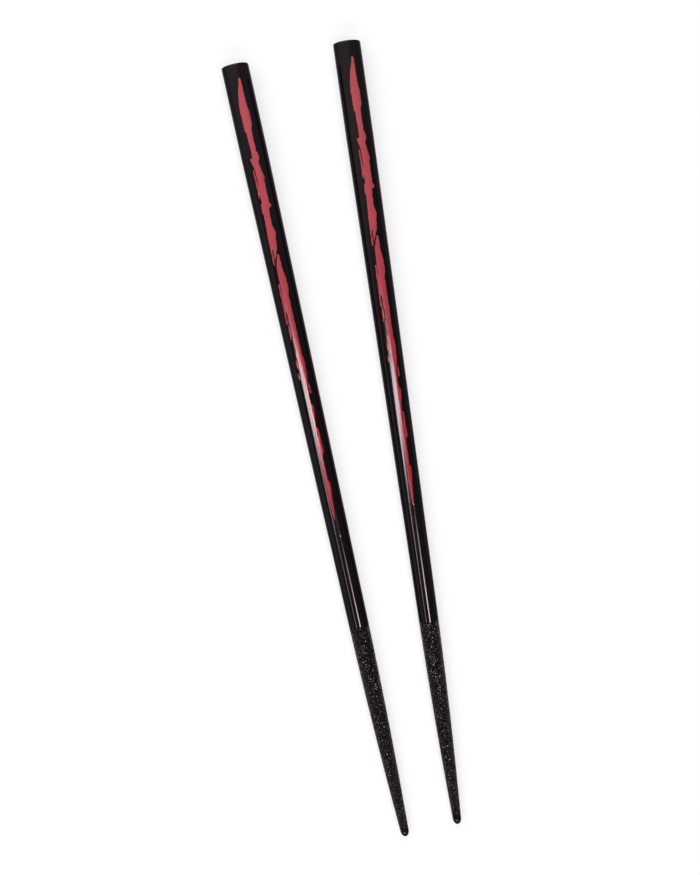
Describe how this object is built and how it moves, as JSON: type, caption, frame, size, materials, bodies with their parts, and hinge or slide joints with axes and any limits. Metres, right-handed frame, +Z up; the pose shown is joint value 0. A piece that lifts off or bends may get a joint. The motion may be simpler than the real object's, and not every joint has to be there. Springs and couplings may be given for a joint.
{
  "type": "pair of chopsticks",
  "caption": "Pair of round tapered wooden chopsticks in glossy black lacquer, each with a red brush stroke along its upper side and a rough coat on the eating end.",
  "frame": {"origin": "centre of the pair's footprint on the surface that the two sticks lie on", "axes": "+Y towards the butt ends, along the line midway between the sticks; +X across, from the left stick to the right one; +Z up"},
  "size_m": [0.0404, 0.2258, 0.0081],
  "materials": {
    "black_lacquer": "gloss lacquer over turned wood",
    "red_lacquer": "gloss lacquer"
  },
  "bodies": {
    "root": {"chopstick_left": "black_lacquer", "chopstick_right": "black_lacquer", "upper_stroke_left": "red_lacquer", "lower_stroke_left": "red_lacquer", "upper_stroke_right": "red_lacquer", "lower_stroke_right": "red_lacquer"}
  },
  "joints": []
}
